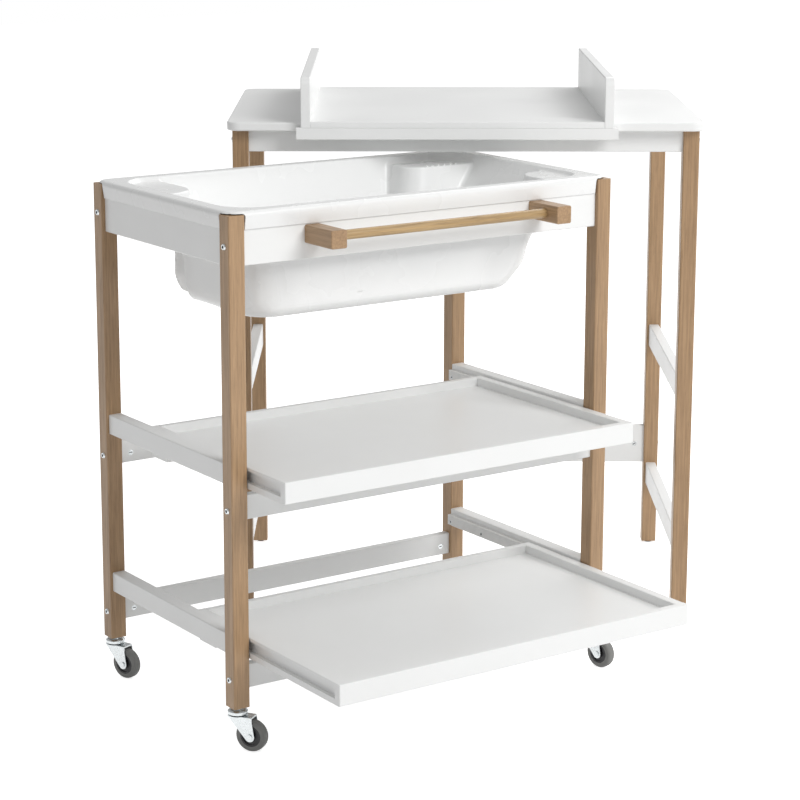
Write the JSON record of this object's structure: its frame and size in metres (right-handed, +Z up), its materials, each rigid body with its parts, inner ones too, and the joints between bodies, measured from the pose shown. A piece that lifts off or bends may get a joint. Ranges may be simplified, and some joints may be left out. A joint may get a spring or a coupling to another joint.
{
  "type": "changing table with bath trolley",
  "caption": "Changing table with a lift-off changing tray and a wheeled bath trolley that has pull-out trays and rolls under its top.",
  "frame": {"origin": "middle of the whole object's bounding box, on the floor", "axes": "+Z up; the bath trolley stands square to the axes with its handle towards -Y; the table stands behind it, turned by 34.23 degrees clockwise from above"},
  "size_m": [1.3876, 1.3199, 1.05],
  "materials": {
    "stained_beech": "stained and matt lacquered beech",
    "white_lacquer": "satin white lacquer on board",
    "white_tub_plastic": "semi-gloss moulded",
    "white_runner_plastic": "matt",
    "grey_plastic": "satin",
    "black_plastic": "matt",
    "grey_rubber": "matt thermoplastic rubber",
    "zinc_steel": "bright zinc plated"
  },
  "bodies": {
    "table": {"table_apron_back": "white_lacquer", "table_apron_front": "white_lacquer", "table_apron_left": "white_lacquer", "table_apron_right": "white_lacquer", "table_back_board": "white_lacquer", "table_bolts": "zinc_steel", "table_glides": "black_plastic", "table_leg_back_left": "stained_beech", "table_leg_back_right": "stained_beech", "table_leg_front_left": "stained_beech", "table_leg_front_right": "stained_beech", "table_rails_high": "white_lacquer", "table_rails_low": "white_lacquer", "table_top": "white_lacquer"},
    "changer": {"changer_floor": "white_lacquer", "changer_lip": "white_lacquer", "changer_wing_left": "white_lacquer", "changer_wing_right": "white_lacquer"},
    "trolley": {"caster_stems": "zinc_steel", "handle_bar": "stained_beech", "handle_block_left": "stained_beech", "handle_block_right": "stained_beech", "handle_screws": "zinc_steel", "runner_screws": "zinc_steel", "tray_rails_low": "white_lacquer", "tray_rails_mid": "white_lacquer", "tray_runners_low": "white_runner_plastic", "tray_runners_mid": "white_runner_plastic", "trolley_apron_back": "white_lacquer", "trolley_apron_front": "white_lacquer", "trolley_apron_left": "white_lacquer", "trolley_apron_right": "white_lacquer", "trolley_bolts": "zinc_steel", "trolley_leg_back_left": "stained_beech", "trolley_leg_back_right": "stained_beech", "trolley_leg_front_left": "stained_beech", "trolley_leg_front_right": "stained_beech", "trolley_stretchers_low": "white_lacquer", "trolley_stretchers_mid": "white_lacquer"},
    "bath": {"bath_tub": "white_tub_plastic", "drain_fitting": "white_tub_plastic"},
    "plug": {"drain_plug": "grey_plastic"},
    "mid_tray": {"mid_tray_floor": "white_lacquer", "mid_tray_frame": "white_lacquer", "mid_tray_front": "white_lacquer"},
    "low_tray": {"low_tray_floor": "white_lacquer", "low_tray_frame": "white_lacquer", "low_tray_front": "white_lacquer"},
    "swivel_front_left": {"caster_fork_front_left": "zinc_steel"},
    "wheel_front_left": {"caster_hub_front_left": "black_plastic", "caster_tyre_front_left": "grey_rubber"},
    "swivel_front_right": {"caster_fork_front_right": "zinc_steel"},
    "wheel_front_right": {"caster_hub_front_right": "black_plastic", "caster_tyre_front_right": "grey_rubber"},
    "swivel_back_left": {"caster_fork_back_left": "zinc_steel"},
    "wheel_back_left": {"caster_hub_back_left": "black_plastic", "caster_tyre_back_left": "grey_rubber"},
    "swivel_back_right": {"caster_fork_back_right": "zinc_steel"},
    "wheel_back_right": {"caster_hub_back_right": "black_plastic", "caster_tyre_back_right": "grey_rubber"}
  },
  "joints": [
    {"name": "trolley_roll", "type": "slide", "parent": "table", "child": "trolley", "axis": [0, -1, 0], "range_m": [-0.08, 0.6]},
    {"name": "changer_lift", "type": "slide", "parent": "table", "child": "changer", "axis": [0, 0, 1], "range_m": [0, 0.2]},
    {"name": "bath_lift", "type": "slide", "parent": "trolley", "child": "bath", "axis": [0, 0, 1], "range_m": [0, 0.009]},
    {"name": "plug_pull", "type": "slide", "parent": "bath", "child": "plug", "axis": [0, 0, 1], "range_m": [0, 0.12]},
    {"name": "mid_tray_slide", "type": "slide", "parent": "trolley", "child": "mid_tray", "axis": [0, -1, 0], "range_m": [-0.1123, 0.2456]},
    {"name": "low_tray_slide", "type": "slide", "parent": "trolley", "child": "low_tray", "axis": [0, -1, 0], "range_m": [-0.2683, 0.0896]},
    {"name": "swivel_front_left", "type": "hinge", "parent": "trolley", "child": "swivel_front_left", "pos_m": [-0.67596, -0.37665, 0.0599], "axis": [0, 0, 1], "continuous": true},
    {"name": "roll_front_left", "type": "hinge", "parent": "swivel_front_left", "child": "wheel_front_left", "pos_m": [-0.66135, -0.39792, 0.027], "axis": [0.8241, 0.5664, 0], "continuous": true},
    {"name": "swivel_front_right", "type": "hinge", "parent": "trolley", "child": "swivel_front_right", "pos_m": [0.07004, -0.37665, 0.0599], "axis": [0, 0, 1], "continuous": true},
    {"name": "roll_front_right", "type": "hinge", "parent": "swivel_front_right", "child": "wheel_front_right", "pos_m": [0.07514, -0.40194, 0.027], "axis": [0.9803, 0.1977, 0], "continuous": true},
    {"name": "swivel_back_left", "type": "hinge", "parent": "trolley", "child": "swivel_back_left", "pos_m": [-0.67596, 0.05335, 0.0599], "axis": [0, 0, 1], "continuous": true},
    {"name": "roll_back_left", "type": "hinge", "parent": "swivel_back_left", "child": "wheel_back_left", "pos_m": [-0.66663, 0.02929, 0.027], "axis": [0.9323, 0.3616, 0], "continuous": true},
    {"name": "swivel_back_right", "type": "hinge", "parent": "trolley", "child": "swivel_back_right", "pos_m": [0.07004, 0.05335, 0.0599], "axis": [0, 0, 1], "continuous": true},
    {"name": "roll_back_right", "type": "hinge", "parent": "swivel_back_right", "child": "wheel_back_right", "pos_m": [0.07887, 0.0291, 0.027], "axis": [0.9397, 0.342, 0], "continuous": true}
  ]
}
